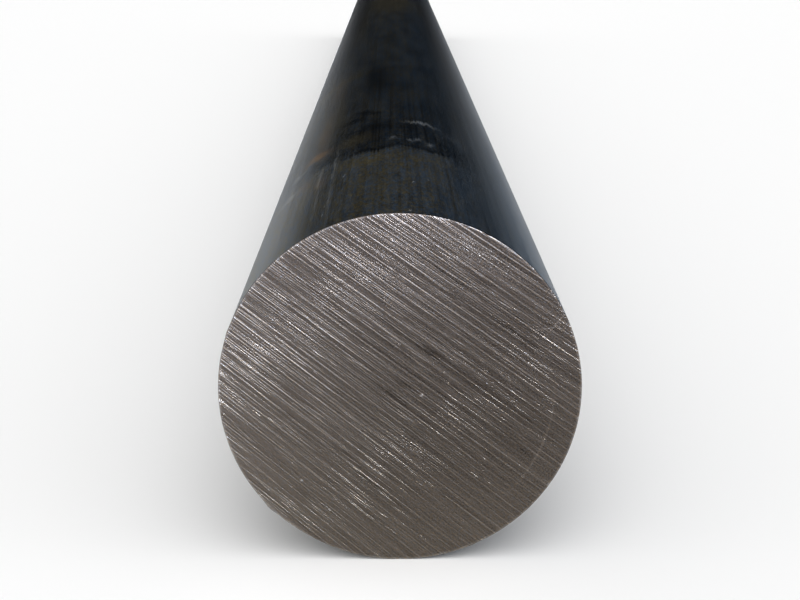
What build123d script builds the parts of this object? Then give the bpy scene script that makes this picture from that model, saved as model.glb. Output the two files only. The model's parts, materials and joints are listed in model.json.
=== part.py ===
from build123d import *
import os

# A solid round steel bar: one piece of cold-drawn stock, band-sawn square at both ends.
#
# The bar lies along +Y. The origin is the centre of the front sawn face, which looks along -Y,
# so the Y axis is the axis of the bar, and the floor that it lies on is one radius below the origin.

INCH = 25.4

# Driving dimensions, in millimetres.
bar_diameter = 4.0 * INCH  # outside of the drawn bar
bar_length = 72.0 * INCH  # from one sawn face to the other
edge_break = 0.3  # how much of each sharp sawn edge is knocked off, the same on both faces of the corner

bar_radius = bar_diameter / 2

# The section is drawn in this plane: it stands upright on the front face, and its normal is +Y.
FRONT_FACE = Plane(origin=(0, 0, 0), x_dir=(1, 0, 0), z_dir=(0, 1, 0))


def sawn_stock():
    """The drawn bar as the saw leaves it, from the front face at Y 0 to the far face at bar_length."""
    return extrude(FRONT_FACE * Circle(bar_radius), amount=bar_length)


def break_sawn_edges(bar):
    """Takes the sharp corner off the rim of each sawn face."""
    rims = [edge for edge in bar.edges() if edge.geom_type == GeomType.CIRCLE]
    return chamfer(rims, edge_break)


round_bar = break_sawn_edges(sawn_stock())

os.makedirs("parts", exist_ok=True)
export_step(round_bar, "parts/round_bar.step")
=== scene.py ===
import json
import math

import bpy
from mathutils import Euler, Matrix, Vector


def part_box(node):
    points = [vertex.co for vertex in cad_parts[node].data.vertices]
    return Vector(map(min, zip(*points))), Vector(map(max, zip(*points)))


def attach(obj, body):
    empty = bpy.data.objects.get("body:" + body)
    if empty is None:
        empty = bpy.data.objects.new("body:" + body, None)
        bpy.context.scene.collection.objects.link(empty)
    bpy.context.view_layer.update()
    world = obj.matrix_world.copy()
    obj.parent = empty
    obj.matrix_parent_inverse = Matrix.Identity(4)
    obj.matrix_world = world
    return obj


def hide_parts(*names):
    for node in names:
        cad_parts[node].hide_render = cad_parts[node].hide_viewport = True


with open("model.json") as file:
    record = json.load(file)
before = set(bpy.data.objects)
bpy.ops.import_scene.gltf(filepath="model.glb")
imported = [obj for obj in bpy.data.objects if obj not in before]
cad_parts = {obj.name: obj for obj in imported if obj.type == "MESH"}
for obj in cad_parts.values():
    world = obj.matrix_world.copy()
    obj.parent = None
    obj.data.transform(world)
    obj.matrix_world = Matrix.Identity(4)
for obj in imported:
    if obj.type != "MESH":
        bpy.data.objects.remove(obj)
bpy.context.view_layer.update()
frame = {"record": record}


# ---- The round bar ----
# One solid length of cold-drawn steel. A swing-arm band saw cut it from longer stock at both ends:
# the arm came down on its hinge, so the tooth marks fan out a little across each face, and where
# the blade broke through it left a burr. The sharp rims are only just broken.

MM = 0.001  # a workshop size in millimetres is written as so many MM

bar_low, bar_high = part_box("round_bar")
mounts = {mount["name"]: mount for mount in frame["record"]["mounts"]}
bar_radius = mounts["bar_outside"]["dims"]["r_mm"] * MM
bar_length = bar_high.y - bar_low.y
edge_break = (bar_length - mounts["bar_outside"]["dims"]["length_mm"] * MM) / 2

mark_slope = math.radians(-37.7)  # the blade ran down to the right, as the front face is looked at
hinge_reach = 14.7 * bar_radius  # from the middle of the bar to the hinge of the saw arm
band_feed = 0.0846 * bar_radius  # the arm came down this far for each turn of the band
late_feed = 0.0905 * bar_radius  # and a little faster once it was well past the middle
late_from = -0.25 * bar_radius
first_line = 0.030 * bar_radius  # where one turn of the band left its main ridge
mark_depth = 0.09 * MM  # from the lowest mark of a plain turn to its highest
uncut_height = 1.35  # the steel stood this high, in mark depths, before the teeth reached it
mark_seed = 3.3

row_count = round(2 * bar_radius / (0.13 * MM))  # rows of faces follow the marks, 0.13 mm apart
row_columns = 46
first_chord = 0.02 * MM  # how far inside the rim the first and last rows lie
weld_reach = 0.001 * MM

# One turn of the band, over the feed from 0 to 1: how high its teeth leave the steel, then how bright
# its colour is painted, partly burnish and partly painted highlight and shade of the relief. Each
# ridge rises slowly and ends in a steep, bright flank.
TOOTH_RELIEF = ((0.0, 0.02), (0.03, 0.0), (0.12, 0.2), (0.34, 0.58), (0.38, 0.62), (0.45, 0.2),
                (0.50, 0.2), (0.56, 0.36), (0.63, 0.1), (0.70, 0.2), (0.915, 0.96), (0.94, 1.0),
                (0.99, 0.05), (1.0, 0.02))
TOOTH_SHINE_AND_SHADE = ((0.0, 0.4), (0.025, 0.06), (0.07, 0.0), (0.115, 0.04), (0.15, 0.3), (0.20, 0.3),
               (0.25, 0.16), (0.29, 0.22), (0.345, 0.24), (0.385, 0.72), (0.43, 0.76), (0.465, 0.3),
               (0.52, 0.26), (0.565, 0.52), (0.61, 0.52), (0.65, 0.24), (0.70, 0.1), (0.76, 0.22),
               (0.81, 0.18), (0.85, 0.0), (0.89, 0.0), (0.94, 0.62), (0.975, 0.92), (1.0, 0.4))
HEAVY_TURNS = (-4, 0, 2, 4, 5, 6, 9)  # turns that left heavier ridges than the rest

# Flaws of the rim: where round the face, how wide in degrees, and how far they stand out in millimetres.
RIM_FLAWS = {
    "burr flake": (223.0, 1.5, 0.40),
    "rolled edge": (240.0, 8.0, -0.20),
    "nick": (27.0, 0.9, -0.22),
    "left burr": (160.0, 1.2, 0.14),
    "right burr": (44.0, 0.7, 0.10),
    "small dent": (62.0, 0.8, -0.12),
}


def put(tree, kind, **settings):
    """One node of this kind in a tree, with its settings."""
    node = tree.nodes.new(kind)
    for name, value in settings.items():
        setattr(node, name, value)
    return node


def feed(tree, socket, source):
    """A socket takes a plain value, or a link from another node's output."""
    if isinstance(source, bpy.types.NodeSocket):
        tree.links.new(source, socket)
    else:
        socket.default_value = source


def calc(tree, operation, *values):
    """A Math node on values or sockets; gives its result."""
    node = put(tree, "ShaderNodeMath", operation=operation)
    for socket, value in zip(node.inputs, values):
        feed(tree, socket, value)
    return node.outputs[0]


def vector_of(tree, x, y, z):
    """A vector from three values or sockets."""
    node = put(tree, "ShaderNodeCombineXYZ")
    for socket, value in zip(node.inputs, (x, y, z)):
        feed(tree, socket, value)
    return node.outputs[0]


def parts_of(tree, vector):
    """The three parts of a vector."""
    node = put(tree, "ShaderNodeSeparateXYZ")
    feed(tree, node.inputs[0], vector)
    return node.outputs


def plus(tree, total, *pairs):
    """A total with each value times its factor added."""
    for value, factor in pairs:
        total = calc(tree, "MULTIPLY_ADD", value, factor, total)
    return total


def clipped(tree, value, low=0.0, high=1.0):
    """A value kept between two ends."""
    return calc(tree, "MINIMUM", calc(tree, "MAXIMUM", value, low), high)


def over_one_turn(tree, turns, points):
    """A curve through these points, read at how far on each turn of the band is."""
    node = put(tree, "ShaderNodeFloatCurve")
    curve = node.mapping.curves[0]
    curve.points[0].location, curve.points[1].location = points[0], points[-1]
    for point in points[1:-1]:
        curve.points.new(*point)
    for point in curve.points:
        point.handle_type = "VECTOR"
    node.mapping.update()
    above_zero = calc(tree, "ADD", turns, 40.0)  # whole turns more than the face has on either side
    feed(tree, node.inputs["Value"], calc(tree, "FRACT", above_zero))
    return node.outputs[0]


def new_inputs(tree, sockets):
    """Gives a node group its named inputs, each with its kind and first value."""
    for name, (kind, value) in sockets.items():
        tree.interface.new_socket(name, in_out="INPUT", socket_type=kind).default_value = value
    return put(tree, "NodeGroupInput").outputs


def sawn_end_group():
    """One sawn end and half of the bar's side, with its face at Y 0 and its grooves cut into +Y."""
    tree = bpy.data.node_groups.new("sawn end", "GeometryNodeTree")
    given = new_inputs(tree, {
        "Radius": ("NodeSocketFloat", bar_radius),
        "Length": ("NodeSocketFloat", bar_length / 2),
        "Edge Break": ("NodeSocketFloat", edge_break),
        "Rows": ("NodeSocketInt", row_count),
        "Columns": ("NodeSocketInt", row_columns),
        "Mark Depth": ("NodeSocketFloat", mark_depth),
        "First Line": ("NodeSocketFloat", first_line),
        "Flaw Turn": ("NodeSocketFloat", 0.0),
        "Seed": ("NodeSocketFloat", 0.0),
    })
    tree.interface.new_socket("Geometry", in_out="OUTPUT", socket_type="NodeSocketGeometry")

    # The face is a grid whose rows are chords of the rim, each on its own line through the hinge.
    grid = put(tree, "GeometryNodeMeshGrid")
    feed(tree, grid.inputs["Size X"], 2.0)
    feed(tree, grid.inputs["Size Y"], 2.0)
    feed(tree, grid.inputs["Vertices X"], given["Columns"])
    feed(tree, grid.inputs["Vertices Y"], given["Rows"])
    where = parts_of(tree, put(tree, "GeometryNodeInputPosition").outputs[0])
    face_radius = calc(tree, "SUBTRACT", given["Radius"], given["Edge Break"])
    across = calc(tree, "MULTIPLY", where["Y"], calc(tree, "SUBTRACT", face_radius, first_chord))
    squares = [calc(tree, "MULTIPLY", side, side) for side in (face_radius, across)]
    half_chord = calc(tree, "SQRT", calc(tree, "SUBTRACT", *squares))
    along = calc(tree, "MULTIPLY", where["X"], half_chord)
    fan_angle = calc(tree, "ARCSINE", calc(tree, "DIVIDE", across, hinge_reach))
    angle = calc(tree, "ADD", fan_angle, mark_slope)
    cosine = calc(tree, "COSINE", angle)
    sine = calc(tree, "SINE", angle)
    x = calc(tree, "SUBTRACT", calc(tree, "MULTIPLY", along, cosine),
             calc(tree, "MULTIPLY", across, sine))
    z = calc(tree, "ADD", calc(tree, "MULTIPLY", along, sine),
             calc(tree, "MULTIPLY", across, cosine))

    def lumps(width, reach, seed, detail=0.0):
        """Smooth noise about zero, in lumps of this width and reach along the marks, in millimetres."""
        node = put(tree, "ShaderNodeTexNoise")
        feed(tree, node.inputs["Vector"], vector_of(
            tree, calc(tree, "DIVIDE", along, reach * MM), calc(tree, "DIVIDE", across, width * MM),
            calc(tree, "ADD", given["Seed"], seed)))
        feed(tree, node.inputs["Scale"], 1.0)
        feed(tree, node.inputs["Detail"], detail)
        return calc(tree, "SUBTRACT", node.outputs[0], 0.5)

    # Tooth marks: the band's own pattern, repeated at each turn and wandering a little.
    wander = calc(tree, "MULTIPLY", lumps(11, 160, 0.0), 0.7 * MM)
    from_line = calc(tree, "ADD", calc(tree, "SUBTRACT", across, given["First Line"]), wander)
    turns = calc(tree, "DIVIDE", from_line, band_feed)
    late = calc(tree, "MINIMUM", calc(tree, "SUBTRACT", across, late_from), 0.0)
    turns = calc(tree, "SUBTRACT", turns, calc(tree, "MULTIPLY", late, 1 / band_feed - 1 / late_feed))
    relief, shine_and_shade = [over_one_turn(tree, turns, points) for points in (TOOTH_RELIEF, TOOTH_SHINE_AND_SHADE)]

    # The ridges come and go, and some turns left heavier ones. Stray scores and scratches lie over them.
    number = calc(tree, "ROUND", turns)
    heavier = [(calc(tree, "COMPARE", number, float(turn), 0.2), 0.3) for turn in HEAVY_TURNS]
    swell = clipped(tree, plus(tree, 0.85, (lumps(3.1, 55, 9.0, 1.0), 0.9), *heavier), 0.1, 1.4)
    scores = calc(tree, "MULTIPLY", lumps(0.36, 90, 2.0), 0.35)
    scratches = calc(tree, "MULTIPLY", lumps(0.30, 8, 4.0), 0.25)
    stray = calc(tree, "ADD", scores, scratches)
    height = calc(tree, "MULTIPLY_ADD", relief, swell, stray)
    shine_and_shade = calc(tree, "MULTIPLY_ADD", shine_and_shade, swell, stray)
    cut = calc(tree, "MAXIMUM", calc(tree, "SUBTRACT", uncut_height, height), 0.0)

    # The face keeps, for its material, where each point lies on the marks and how bright it is painted:
    #     # partly burnish, partly painted highlight and shade of the relief.
    noted = put(tree, "GeometryNodeStoreNamedAttribute", data_type="FLOAT_VECTOR", domain="POINT")
    feed(tree, noted.inputs["Geometry"], grid.outputs["Mesh"])
    feed(tree, noted.inputs["Name"], "saw_marks")
    feed(tree, noted.inputs["Value"], vector_of(tree, along, across, shine_and_shade))
    mapped = put(tree, "GeometryNodeStoreNamedAttribute", data_type="FLOAT2", domain="CORNER")
    feed(tree, mapped.inputs["Geometry"], noted.outputs["Geometry"])
    feed(tree, mapped.inputs["Name"], "mark_lines")
    feed(tree, mapped.inputs["Value"], vector_of(tree, across, along, 0.0))
    shaped = put(tree, "GeometryNodeSetPosition")
    feed(tree, shaped.inputs["Geometry"], mapped.outputs["Geometry"])
    depth = calc(tree, "MULTIPLY", cut, given["Mark Depth"])
    feed(tree, shaped.inputs["Position"], vector_of(tree, x, depth, z))
    bare = put(tree, "GeometryNodeStoreNamedAttribute", data_type="BOOLEAN", domain="FACE")
    feed(tree, bare.inputs["Geometry"], shaped.outputs["Geometry"])
    feed(tree, bare.inputs["Name"], "sawn")
    feed(tree, bare.inputs["Value"], True)
    face_count = put(tree, "GeometryNodeInputMeshEdgeNeighbors").outputs["Face Count"]
    rim = calc(tree, "COMPARE", face_count, 1.0, 0.1)
    creased = put(tree, "GeometryNodeSetShadeSmooth", domain="EDGE")
    feed(tree, creased.inputs["Geometry"], bare.outputs["Geometry"])
    feed(tree, creased.inputs["Selection"], rim)
    feed(tree, creased.inputs["Shade Smooth"], False)

    # The rim is broken, then the side runs back in rings. Each ring is given by how far in from the
    # bar's outside it lies, how far back from the face, how much of the rim's flaws it takes, and
    # whether it is still bare sawn steel.
    edge = given["Edge Break"]
    rings = (
        (calc(tree, "MULTIPLY", edge, 0.35), calc(tree, "MULTIPLY", edge, 0.5), 0.8, True),
        (0.0, calc(tree, "MULTIPLY", edge, 1.2), 1.0, True),
        (0.0, calc(tree, "ADD", edge, 1.2 * MM), 0.25, False),
        (0.0, calc(tree, "ADD", edge, 30 * MM), 0.0, False),
        (0.0, given["Length"], 0.0, False),
    )
    grown = creased.outputs["Geometry"]
    chosen = rim
    for inset, back, flawed, is_sawn in rings:
        ring = put(tree, "GeometryNodeExtrudeMesh", mode="EDGES")
        feed(tree, ring.inputs["Mesh"], grown)
        feed(tree, ring.inputs["Selection"], chosen)
        feed(tree, ring.inputs["Offset Scale"], 0.0)
        at = parts_of(tree, put(tree, "GeometryNodeInputPosition").outputs[0])
        bearing = calc(tree, "ARCTAN2", at["Z"], at["X"])
        reach = calc(tree, "SUBTRACT", given["Radius"], inset)
        if flawed:
            turned = calc(tree, "ADD", bearing, given["Flaw Turn"])
            for degrees, width, push in RIM_FLAWS.values():
                away = calc(tree, "COSINE", calc(tree, "SUBTRACT", turned, math.radians(degrees)))
                away = calc(tree, "SUBTRACT", away, 1.0)
                bell = calc(tree, "EXPONENT", calc(tree, "MULTIPLY", away, math.radians(width) ** -2))
                reach = calc(tree, "MULTIPLY_ADD", bell, push * flawed * MM, reach)
        moved = put(tree, "GeometryNodeSetPosition")
        feed(tree, moved.inputs["Geometry"], ring.outputs["Mesh"])
        feed(tree, moved.inputs["Selection"], ring.outputs["Top"])
        feed(tree, moved.inputs["Position"], vector_of(
            tree, calc(tree, "MULTIPLY", reach, calc(tree, "COSINE", bearing)), back,
            calc(tree, "MULTIPLY", reach, calc(tree, "SINE", bearing))))
        named = put(tree, "GeometryNodeStoreNamedAttribute", data_type="BOOLEAN", domain="FACE")
        feed(tree, named.inputs["Geometry"], moved.outputs["Geometry"])
        feed(tree, named.inputs["Selection"], ring.outputs["Side"])
        feed(tree, named.inputs["Name"], "sawn")
        feed(tree, named.inputs["Value"], is_sawn)
        grown = named.outputs["Geometry"]
        chosen = ring.outputs["Top"]

    result = put(tree, "NodeGroupOutput")
    feed(tree, result.inputs[0], grown)
    return tree


def round_bar_group():
    """The whole bar: two sawn ends, the far one turned to face +Y, welded at mid length."""
    tree = bpy.data.node_groups.new("round bar", "GeometryNodeTree")
    given = new_inputs(tree, {
        "Radius": ("NodeSocketFloat", bar_radius),
        "Length": ("NodeSocketFloat", bar_length),
        "Edge Break": ("NodeSocketFloat", edge_break),
        "Rows": ("NodeSocketInt", row_count),
        "Columns": ("NodeSocketInt", row_columns),
        "Mark Depth": ("NodeSocketFloat", mark_depth),
        "First Line": ("NodeSocketFloat", first_line),
        "Seed": ("NodeSocketFloat", 0.0),
    })
    tree.interface.new_socket("Geometry", in_out="OUTPUT", socket_type="NodeSocketGeometry")
    end_group = sawn_end_group()
    both = put(tree, "GeometryNodeJoinGeometry")

    # The far end was another cut: its marks are shifted by millimetres, and its flaws turned by radians.
    for shift, flaw_turn, far in ((0.0, 0.0, False), (31.7, 0.4, True)):
        half = put(tree, "GeometryNodeGroup", node_tree=end_group)
        for name in ("Radius", "Edge Break", "Rows", "Columns", "Mark Depth"):
            feed(tree, half.inputs[name], given[name])
        feed(tree, half.inputs["Length"], calc(tree, "MULTIPLY", given["Length"], 0.5))
        feed(tree, half.inputs["First Line"], calc(tree, "MULTIPLY_ADD", shift, MM, given["First Line"]))
        feed(tree, half.inputs["Flaw Turn"], flaw_turn)
        feed(tree, half.inputs["Seed"], calc(tree, "ADD", given["Seed"], shift))
        shape = half.outputs[0]
        if far:
            at = parts_of(tree, put(tree, "GeometryNodeInputPosition").outputs[0])
            turned = put(tree, "GeometryNodeSetPosition")
            feed(tree, turned.inputs["Geometry"], shape)
            feed(tree, turned.inputs["Position"],
                 vector_of(tree, at["X"], calc(tree, "SUBTRACT", given["Length"], at["Y"]), at["Z"]))
            flipped = put(tree, "GeometryNodeFlipFaces")
            feed(tree, flipped.inputs[0], turned.outputs[0])
            shape = flipped.outputs[0]
        feed(tree, both.inputs[0], shape)

    welded = put(tree, "GeometryNodeMergeByDistance")
    feed(tree, welded.inputs["Geometry"], both.outputs[0])
    feed(tree, welded.inputs["Distance"], weld_reach)
    real = put(tree, "GeometryNodeRealizeInstances")
    feed(tree, real.inputs[0], welded.outputs[0])
    skinned = put(tree, "GeometryNodeSetMaterial")
    feed(tree, skinned.inputs["Geometry"], real.outputs[0])
    feed(tree, skinned.inputs["Material"], bpy.data.materials["drawn skin"])
    bare = put(tree, "GeometryNodeSetMaterial")
    feed(tree, bare.inputs["Geometry"], skinned.outputs[0])
    sawn = put(tree, "GeometryNodeInputNamedAttribute", data_type="BOOLEAN")
    feed(tree, sawn.inputs["Name"], "sawn")
    feed(tree, bare.inputs["Selection"], sawn.outputs["Attribute"])
    feed(tree, bare.inputs["Material"], bpy.data.materials["sawn steel"])
    result = put(tree, "NodeGroupOutput")
    feed(tree, result.inputs[0], bare.outputs[0])
    return tree


# The faces are bare steel, burnished along the ridges, darker and a little brown in the grooves. The
# light ridges and dark grooves are partly painted highlight and painted shade of the relief. The tones
# run from the bottom of a groove at 0 to a burnished, painted-light ridge at 1.
FACE_TONES = (
    (0.0, (0.018, 0.015, 0.013, 1)),
    (0.2, (0.078, 0.068, 0.061, 1)),
    (0.4, (0.128, 0.113, 0.104, 1)),
    (0.7, (0.225, 0.212, 0.203, 1)),
    (1.0, (0.46, 0.45, 0.45, 1)),
)

# Marks on the faces: right and up from the middle in bar radii, half length and half width in
# millimetres, how far each is turned in degrees, and how much lighter it is.
FACE_MARKS = {
    "painted glint patch": (0.42, 0.77, 12.0, 4.0, -28, 1.0),
    "arc of a scratch": (0.78, -0.33, 16.0, 5.0, 66, 1.0),
    "chip": (0.12, -0.02, 0.55, 0.4, 30, 0.7),
    "long scratch": (0.86, 0.40, 4.5, 0.22, 52, 0.3),
    "short scratch": (0.80, 0.36, 3.0, 0.2, 8, 0.25),
    "low speck": (-0.55, -0.52, 0.45, 0.35, 0, 0.5),
}
arc_radius = 0.848 * bar_radius  # of the arc that something round scraped


def ramp_between(tree, value, low, high, first, last):
    """Runs smoothly from first to last as a value goes from low to high."""
    node = put(tree, "ShaderNodeMapRange", interpolation_type="SMOOTHSTEP")
    for socket, given in zip(node.inputs, (value, low, high, first, last)):
        feed(tree, socket, given)
    return node.outputs[0]


def blended(tree, share, first, last, blend_type="MIX"):
    """Two colours mixed by a share from 0 to 1."""
    node = put(tree, "ShaderNodeMix", data_type="RGBA", blend_type=blend_type, clamp_factor=True)
    for socket, given in zip((node.inputs[0], node.inputs[6], node.inputs[7]), (share, first, last)):
        feed(tree, socket, given)
    return node.outputs[2]


def placed(tree, group, *given):
    """A node group placed in a material with its own values; gives its result."""
    node = put(tree, "ShaderNodeGroup", node_tree=group)
    for socket, value in zip(node.inputs, given):
        feed(tree, socket, value)
    return node.outputs[0]


# Grain: smooth noise about zero, with lumps of any size along each axis.
grain = bpy.data.node_groups.new("grain", "ShaderNodeTree")
given = new_inputs(grain, {
    "Place": ("NodeSocketVector", (0, 0, 0)),
    "Lump": ("NodeSocketVector", (MM, MM, MM)),
    "Detail": ("NodeSocketFloat", 1.0),
})
grain.interface.new_socket("Height", in_out="OUTPUT", socket_type="NodeSocketFloat")
sized = put(grain, "ShaderNodeVectorMath", operation="DIVIDE")
feed(grain, sized.inputs[0], given["Place"])
feed(grain, sized.inputs[1], given["Lump"])
noise = put(grain, "ShaderNodeTexNoise")
feed(grain, noise.inputs["Vector"], sized.outputs[0])
feed(grain, noise.inputs["Scale"], 1.0)
feed(grain, noise.inputs["Detail"], given["Detail"])
height = calc(grain, "SUBTRACT", noise.outputs[0], 0.5)
feed(grain, put(grain, "NodeGroupOutput").inputs["Height"], height)

# A worn or dirty spot with a soft edge: an oval, turned about its middle, from 0 to its strength.
soft_spot = bpy.data.node_groups.new("soft spot", "ShaderNodeTree")
given = new_inputs(soft_spot, {
    "Place": ("NodeSocketVector", (0, 0, 0)),
    "Middle": ("NodeSocketVector", (0, 0, 0)),
    "Half Size": ("NodeSocketVector", (MM, MM, 1)),
    "Turned": ("NodeSocketFloat", 0.0),
    "Strength": ("NodeSocketFloat", 1.0),
})
soft_spot.interface.new_socket("Mask", in_out="OUTPUT", socket_type="NodeSocketFloat")
centred = put(soft_spot, "ShaderNodeMapping", vector_type="TEXTURE")
feed(soft_spot, centred.inputs["Vector"], given["Place"])
feed(soft_spot, centred.inputs["Location"], given["Middle"])
feed(soft_spot, centred.inputs["Rotation"], vector_of(soft_spot, 0.0, 0.0, given["Turned"]))
feed(soft_spot, centred.inputs["Scale"], given["Half Size"])
away = put(soft_spot, "ShaderNodeVectorMath", operation="LENGTH")
feed(soft_spot, away.inputs[0], centred.outputs[0])
mask = ramp_between(soft_spot, away.outputs["Value"], 1.6, 0.0, 0.0, given["Strength"])
feed(soft_spot, put(soft_spot, "NodeGroupOutput").inputs["Mask"], mask)

sawn_steel = bpy.data.materials.new("sawn steel")
sawn_steel.use_nodes = True
tree = sawn_steel.node_tree
tree.nodes.clear()
output = put(tree, "ShaderNodeOutputMaterial")
shader = put(tree, "ShaderNodeBsdfPrincipled")
feed(tree, output.inputs["Surface"], shader.outputs[0])
marks = put(tree, "ShaderNodeAttribute", attribute_name="saw_marks")
along, across, shine_and_shade = parts_of(tree, marks.outputs["Vector"])
x, y, z = parts_of(tree, put(tree, "ShaderNodeTexCoord").outputs["Object"])


def saw_grain(lump_along, lump_across, seed, detail=0.0):
    """Grain laid along the saw marks, with lumps of these sizes in millimetres."""
    place = vector_of(tree, along, across, seed)
    return placed(tree, grain, place, (lump_along * MM, lump_across * MM, 1), detail)


def thin_lines(lump_along, lump_across, seed):
    """Thin lines along the marks, from 0 to 1, where the grain passes its middle."""
    width = 0.035  # the share of the grain's swing that a line takes up
    wave = calc(tree, "ABSOLUTE", saw_grain(lump_along, lump_across, seed))
    return calc(tree, "MAXIMUM", calc(tree, "MULTIPLY_ADD", wave, -1 / width, 1.0), 0.0)


# Grit is the torn steel between the marks. Scratches are short, scores long, and a swathe is a broad
# stretch that the teeth left duller or brighter.
grit = saw_grain(0.42, 0.36, 1.0)
hue_grit = saw_grain(0.7, 0.5, 6.0, 1.0)
scratch = saw_grain(4, 0.40, 2.0, 1.0)
score = saw_grain(60, 0.36, 3.0, 1.0)
swathe = saw_grain(50, 2.6, 4.0, 1.0)
dark_lines = thin_lines(80, 1.5, 11.0)
bright_lines = thin_lines(50, 1.9, 12.0)
short_lines = thin_lines(9, 1.5, 13.0)

right = calc(tree, "DIVIDE", x, bar_radius)
up = calc(tree, "DIVIDE", z, bar_radius)
on_face = vector_of(tree, x, z, 0.0)
length = put(tree, "ShaderNodeVectorMath", operation="LENGTH")
feed(tree, length.inputs[0], on_face)
centre_off = length.outputs["Value"]
outward = calc(tree, "POWER", calc(tree, "DIVIDE", centre_off, bar_radius), 2.0)
spots = {}
for name, (right_by, up_by, half_length, half_width, turned, strength) in FACE_MARKS.items():
    middle = (right_by * bar_radius, up_by * bar_radius, 0)
    half_size = (half_length * MM, half_width * MM, 1)
    spots[name] = placed(tree, soft_spot, on_face, middle, half_size, math.radians(turned), strength)

# In the painted glint patch, grit that stands up is painted as glitter: painted glints. The scraped arc
# # is thin, and the broken rim is painted lighter: a painted highlight.
painted_glitter = calc(tree, "MAXIMUM", calc(tree, "MULTIPLY_ADD", grit, 6.0, -0.7), 0.0)
painted_glitter = calc(tree, "MULTIPLY", painted_glitter, spots.pop("painted glint patch"))
off_arc = calc(tree, "ABSOLUTE", calc(tree, "SUBTRACT", centre_off, arc_radius))
arc = ramp_between(tree, off_arc, 0.0, 0.45 * MM, 1.0, 0.0)
arc = calc(tree, "MULTIPLY", arc, spots.pop("arc of a scratch"))
# The broken rim is painted lighter all round: a painted highlight of the edge catching light.
on_rim = ramp_between(tree, outward, 0.970, 0.988, 0.0, 1.0)
rim_painted_highlight = calc(tree, "MULTIPLY", on_rim, plus(tree, 0.6, (swathe, 1.5)))

# The right term paints the face darker towards the right: painted shade. The face is also lighter
# towards the rim.
tone = plus(tree, 0.152, (shine_and_shade, 0.16), (grit, 0.50), (scratch, 0.14), (score, 0.12), (swathe, 0.15),
            (outward, 0.11), (right, -0.08), (painted_glitter, 0.5), (arc, 0.16), (rim_painted_highlight, 0.4),
            (dark_lines, -0.08), (bright_lines, 0.06), (short_lines, 0.05),
            *((spot, 1.0) for spot in spots.values()))
ramp = put(tree, "ShaderNodeValToRGB")
feed(tree, ramp.inputs[0], tone)
stops = ramp.color_ramp.elements
stops.remove(stops[1])
stops[0].position, stops[0].color = FACE_TONES[0]
for position, colour in FACE_TONES[1:]:
    stops.new(position).color = colour

red = plus(tree, 1.03, (hue_grit, 0.5))
blue = plus(tree, 0.98, (up, 0.06), (hue_grit, -0.7))  # a little browner low down
face_colour = blended(tree, 1.0, ramp.outputs[0], vector_of(tree, red, 1.0, blue), "MULTIPLY")
feed(tree, shader.inputs["Base Color"], face_colour)
shader.inputs["Metallic"].default_value = 1.0
feed(tree, shader.inputs["Roughness"], plus(tree, 0.115, (grit, 0.02), (scratch, 0.02)))
shader.inputs["Anisotropic"].default_value = 1.0
tangent = put(tree, "ShaderNodeTangent", direction_type="UV_MAP", uv_map="mark_lines")
feed(tree, shader.inputs["Tangent"], tangent.outputs[0])
bump = put(tree, "ShaderNodeBump")
rubs = calc(tree, "SUBTRACT", bright_lines, dark_lines)
feed(tree, bump.inputs["Height"], plus(tree, score, (rubs, 0.3), (grit, 0.025), (scratch, 0.025)))
bump.inputs["Strength"].default_value = 1.0
bump.inputs["Distance"].default_value = 0.14 * MM
feed(tree, shader.inputs["Normal"], bump.outputs[0])

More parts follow.
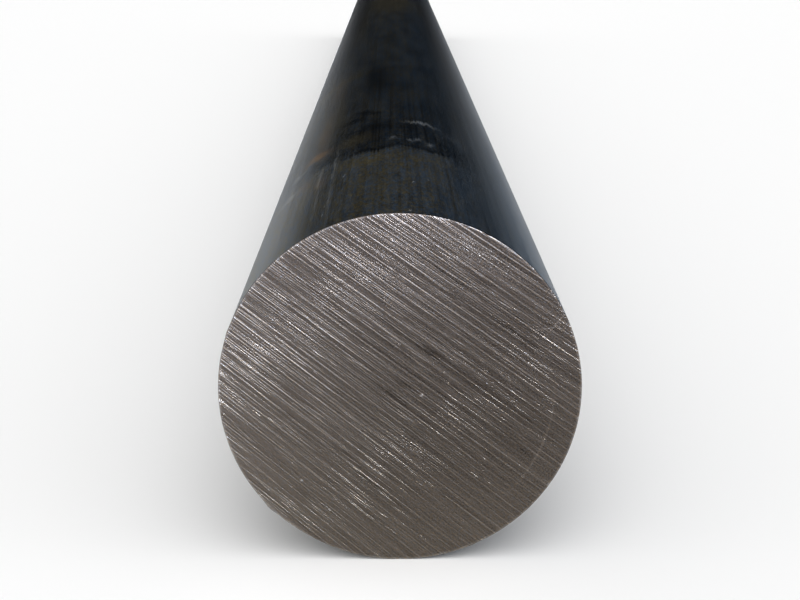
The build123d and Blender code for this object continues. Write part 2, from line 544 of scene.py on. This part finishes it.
# The skin is smooth drawn steel, dark and bluish, with fine lines left along it by the die, and a thin
# film on its first stretch. Each mark on it is so many millimetres round from the top, to the right as
# the front face is looked at, and so many back from that face. Its half width, half length, turn in
# degrees and strength follow.
SKIN_MARKS = {
    "dark": (
        (-10, 115, 11, 4, 14, 0.65), (13, 116, 9, 4, -25, 0.55), (4.4, 155, 0.8, 24, 0, 0.35),
        (7.1, 137, 0.8, 34, 0, 0.35), (10.6, 150, 0.7, 24, 0, 0.4), (13.3, 150, 0.8, 20, 0, 0.35),
        (17, 138, 0.9, 14, 0, 0.35), (15.2, 127, 0.6, 16, 0, 0.3), (-1, 142, 0.7, 12, 0, 0.4),
        (20.5, 110, 0.9, 13, 0, 0.35), (23, 104, 0.8, 12, 0, 0.35), (-8, 168, 14, 12, 0, 0.4),
        (-18, 202, 5, 7, 0, 0.6), (-15, 221, 4, 6, 0, 0.5), (-10, 213, 4, 6, 0, 0.5),
        # The broad dark bands far along the sides, round at -31, 29 and -43 mm, are painted shade: dark
        # surroundings mirrored in the sides, painted in.
        (-9, 345, 7, 70, 0, 0.5), (34, 420, 2.2, 330, 0, 0.45), (-31, 900, 10, 460, 0, 0.7),
        (29, 900, 6, 460, 0, 0.6), (-43, 1150, 9, 330, 0, 0.7), (20.8, 31, 0.45, 1.4, 0, 1.0)),
    "pale": (
        (-1.8, 136, 1.5, 4.0, 0, 0.6), (4.4, 133, 1.2, 3.5, 0, 0.8), (7.1, 135, 1.2, 4.5, 0, 0.9),
        (11.5, 132, 1.6, 4.0, 0, 0.7), (9, 178, 6.5, 4.5, -12, 0.9), (20, 163, 1.6, 4, 0, 0.25),
        (24, 158, 3.2, 20, 0, 0.25), (-22.2, 115, 0.6, 36, 0, 0.4), (-21.8, 45, 0.5, 26, 0, 0.3),
        (-27.5, 92, 0.6, 26, 0, 0.35), (-26.6, 45, 0.5, 22, 0, 0.25), (-40, 142, 5, 4.5, -60, 0.45),
        (-42, 100, 7, 5, -64, 0.45), (-23, 228, 12, 9, 0, 0.12), (-3, 408, 15, 14, 0, 0.1),
        (-17.7, 74, 0.4, 1.2, 0, 0.9), (4.4, 47, 0.4, 1.2, 0, 0.9), (8.9, 55, 0.3, 0.8, 0, 0.6),
        (27.5, 77, 0.4, 1.2, 0, 0.9), (-23, 30, 0.4, 1.2, 0, 0.8), (-23, 18, 0.4, 1.2, 0, 0.8),
        (2.7, 3, 0.4, 0.8, 0, 0.9)),
    "olive": (
        (-16, 148, 7, 18, 0, 0.9), (-11, 95, 12, 8, 0, 0.5), (9, 94, 10, 5, 0, 0.3),
        (-26, 240, 6, 70, 0, 0.5), (-28, 385, 12, 22, 60, 0.6), (-26, 780, 6, 160, 0, 0.6),
        (0, 1000, 26, 160, 0, 1.0), (26, 960, 5, 120, 0, 0.5), (27, 215, 4, 60, 0, 0.4)),
    "brown": (
        (-31, 152, 6, 10, 20, 1.0), (-31, 205, 4, 60, 0, 0.45), (-30, 350, 6, 70, 0, 0.4),
        (-27, 80, 3, 12, 0, 0.3), (-34, 95, 4, 9, 0, 0.3)),
}
film_end = 112 * MM  # the film is dust and dried oil, from where the bar was handled
blue_steel, warm_steel = (0.026, 0.051, 0.084, 1), (0.060, 0.055, 0.043, 1)
blue_film, olive_film = (0.072, 0.098, 0.136, 1), (0.126, 0.106, 0.054, 1)
brown_stain, pale_scuff = (0.20, 0.12, 0.055, 1), (0.24, 0.25, 0.26, 1)

drawn_skin = bpy.data.materials.new("drawn skin")
drawn_skin.use_nodes = True
tree = drawn_skin.node_tree
tree.nodes.clear()
output = put(tree, "ShaderNodeOutputMaterial")
shader = put(tree, "ShaderNodeBsdfPrincipled")
feed(tree, output.inputs["Surface"], shader.outputs[0])
x, y, z = parts_of(tree, put(tree, "ShaderNodeTexCoord").outputs["Object"])


def skin_grain(round_lump, long_lump, seed, detail=1.0):
    """Grain on the skin, with lumps of these sizes in millimetres round and along the bar."""
    shifted = vector_of(tree, x, calc(tree, "ADD", y, seed), z)
    return placed(tree, grain, shifted, (round_lump * MM, long_lump * MM, round_lump * MM), detail)


cloud = skin_grain(8, 55, 0.3)
fine_cloud = skin_grain(2.2, 13, 0.7, 2.0)
speckle = skin_grain(0.7, 2.2, 0.9, 0.0)
hue_cloud = skin_grain(3, 45, 1.1, 2.0)
hue_speckle = skin_grain(0.9, 3.0, 1.3, 0.0)
draw_lines = skin_grain(0.8, 260, 1.7)
wide_lines = skin_grain(2.6, 400, 2.3)

# The finest marks are strong on the first stretch only.
fade = ramp_between(tree, y, 90 * MM, 330 * MM, 1.0, 0.25)
lines = calc(tree, "MULTIPLY", draw_lines, fade)
fine_grain = calc(tree, "MULTIPLY", speckle, fade)
fine_mottle = calc(tree, "MULTIPLY", fine_cloud, fade)

# How far round from the top and how far back from the face each point lies. The grain is added, so
# that the spots' edges fray.
around = calc(tree, "MULTIPLY", calc(tree, "ARCTAN2", x, z), bar_radius)
around = plus(tree, around, (fine_cloud, 2.0 * MM))
back = plus(tree, y, (cloud, 16 * MM), (draw_lines, 12 * MM), (fine_cloud, 8 * MM))
on_skin = vector_of(tree, around, back, 0.0)
marks = {}
for kind, rows in SKIN_MARKS.items():
    marks[kind] = 0.0
    for round_by, back_by, half_width, half_length, turned, strength in rows:
        middle = (round_by * MM, back_by * MM, 0)
        half_size = (half_width * MM, half_length * MM, 1)
        spot = placed(tree, soft_spot, on_skin, middle, half_size, math.radians(turned), strength)
        marks[kind] = calc(tree, "ADD", spot, marks[kind])
dark, pale, olive, brown = (clipped(tree, marks[kind]) for kind in ("dark", "pale", "olive", "brown"))

# The film is thickest up to its end, thins to the right of the top, and lies longer on the left side.
film = ramp_between(tree, back, film_end - 6 * MM, film_end + 12 * MM, 0.70, 0.30)
film = calc(tree, "MULTIPLY", film, ramp_between(tree, around, 10 * MM, 34 * MM, 1.0, 0.25))
left_film = calc(tree, "MULTIPLY", ramp_between(tree, around, -41 * MM, -22 * MM, 1.0, 0.0),
                 ramp_between(tree, y, 330 * MM, 560 * MM, 1.0, 0.2))
right_film = ramp_between(tree, around, 39 * MM, 50 * MM, 0.0, 1.0)
film = plus(tree, film, (left_film, 0.4), (cloud, 0.3), (fine_mottle, 0.4), (fine_grain, 0.5),
            (lines, 0.55), (pale, 0.5), (olive, 0.12), (brown, 0.4))
film = clipped(tree, calc(tree, "MULTIPLY", film, calc(tree, "SUBTRACT", 1.0, dark)))

warmth = ramp_between(tree, around, -6 * MM, 26 * MM, 0.55, 0.1)
warmth = plus(tree, warmth, (hue_cloud, 1.1), (hue_speckle, 1.6), (draw_lines, 0.6), (olive, 0.8))
warmth = clipped(tree, warmth)
film_colour = blended(tree, warmth, blue_film, olive_film)
film_colour = blended(tree, brown, film_colour, brown_stain)
film_colour = blended(tree, pale, film_colour, pale_scuff)
steel = blended(tree, warmth, blue_steel, warm_steel)
shade = plus(tree, 1.0, (wide_lines, 0.9), (lines, 0.9), (cloud, 0.4), (dark, -0.8))
steel = blended(tree, 1.0, steel, vector_of(tree, shade, shade, shade), "MULTIPLY")
feed(tree, shader.inputs["Base Color"], blended(tree, film, steel, film_colour))
metal = plus(tree, 1.03, (film, -0.47), (left_film, -0.14), (right_film, -0.3), (pale, -0.2),
             (lines, 0.8), (wide_lines, 0.2))
feed(tree, shader.inputs["Metallic"], clipped(tree, metal))
feed(tree, shader.inputs["Roughness"], plus(tree, 0.29, (film, 0.05)))
shader.inputs["Specular Tint"].default_value = (0.135, 0.222, 0.325, 1)
bump = put(tree, "ShaderNodeBump")
feed(tree, bump.inputs["Height"], plus(tree, draw_lines, (fine_cloud, 0.4)))
bump.inputs["Strength"].default_value = 1.0
bump.inputs["Distance"].default_value = 0.012 * MM
feed(tree, shader.inputs["Normal"], bump.outputs[0])

# The bar is made once as a plain mesh, which takes the place of the CAD solid.
maker = bpy.data.objects.new("bar_maker", bpy.data.meshes.new("bar_maker"))
bpy.context.scene.collection.objects.link(maker)
modifier = maker.modifiers.new("round bar", "NODES")
modifier.node_group = round_bar_group()
sizes = {
    "Radius": bar_radius, "Length": bar_length, "Edge Break": edge_break,
    "Rows": row_count, "Columns": row_columns,
    "Mark Depth": mark_depth, "First Line": first_line, "Seed": mark_seed,
}
for item in modifier.node_group.interface.items_tree:
    if item.in_out == "INPUT":
        modifier[item.identifier] = sizes[item.name]
evaluated = maker.evaluated_get(bpy.context.evaluated_depsgraph_get())
mesh = bpy.data.meshes.new_from_object(evaluated)
bpy.data.objects.remove(maker)
while None in mesh.materials[:]:
    mesh.materials.pop(index=mesh.materials[:].index(None))  # the maker's empty slot
mesh.attributes.remove(mesh.attributes["sawn"])
bar = bpy.data.objects.new("round_bar_drawn", mesh)
bpy.context.scene.collection.objects.link(bar)
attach(bar, "root")
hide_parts("round_bar")


# ---- The studio: floor, lamps and camera ----
# The bar lies on a wide pale floor under two broad, soft suns. Four weak lamps stand in for the strips
# and windows of a workshop: they light only the gloss of the steel, in narrow bands.

reach = 40.0
floor_mesh = bpy.data.meshes.new("floor")
floor_mesh.from_pydata([(-reach, -reach, -bar_radius), (reach, -reach, -bar_radius),
                        (reach, reach, -bar_radius), (-reach, reach, -bar_radius)], [], [(0, 1, 2, 3)])
floor = bpy.data.objects.new("floor", floor_mesh)
bpy.context.scene.collection.objects.link(floor)
pale_floor = bpy.data.materials.new("pale floor")
pale_floor.use_nodes = True
shader = pale_floor.node_tree.nodes["Principled BSDF"]
shader.inputs["Base Color"].default_value = (0.9, 0.9, 0.9, 1)
shader.inputs["Roughness"].default_value = 0.9
shader.inputs["Specular IOR Level"].default_value = 0.0
floor_mesh.materials.append(pale_floor)

world = bpy.data.worlds.new("studio")
bpy.context.scene.world = world
world.use_nodes = True
world.node_tree.nodes["Background"].inputs["Color"].default_value = (1, 1, 1, 1)
world.node_tree.nodes["Background"].inputs["Strength"].default_value = 0.03


def new_sun(name, strength, spread):
    """A sun lamp, its spread in degrees, not yet turned its way."""
    lamp = bpy.data.lights.new(name, "SUN")
    lamp.energy = strength
    lamp.angle = math.radians(spread)
    sun = bpy.data.objects.new(name, lamp)
    bpy.context.scene.collection.objects.link(sun)
    return sun


for name, strength, spread, tilt in (
        ("key", 2.78, 110.0, (50.0, 0.0, 35.0)),
        ("fill", 2.14, 120.0, (45.0, 0.0, -50.0))):
    sun = new_sun(name, strength, spread)
    sun.rotation_euler = Euler([math.radians(angle) for angle in tilt])

for name, strength, spread, towards in (
        ("left strip", 0.06, 1.5, (0.197, -0.978, 0.062)),
        ("left window", 0.45, 16.0, (0.330, -0.866, 0.377)),
        ("low window", 0.17, 16.0, (0.268, -0.948, 0.172)),
        ("right strip", 0.055, 1.2, (0.400, -0.908, 0.127))):
    sun = new_sun(name, strength, spread)
    sun.data.color = (0.82, 0.91, 1.0)
    sun.rotation_euler = Vector(towards).to_track_quat("Z", "Y").to_euler()
    sun.visible_diffuse = False

camera_place = Vector((-0.0466, -7.5845, 2.5330)) * bar_radius
camera_fall = 14.852  # degrees that it looks down
camera_turn = -0.3486
camera = bpy.data.cameras.new("camera")
camera.sensor_width = 36.0
camera.lens = 65.376
camera.clip_start = 0.01
camera.clip_end = 200.0
viewer = bpy.data.objects.new("camera", camera)
viewer.location = camera_place
viewer.rotation_euler = Euler((math.radians(90 - camera_fall), 0.0, math.radians(camera_turn)))
bpy.context.scene.collection.objects.link(viewer)
bpy.context.scene.camera = viewer
bpy.context.scene.view_settings.view_transform = "Standard"
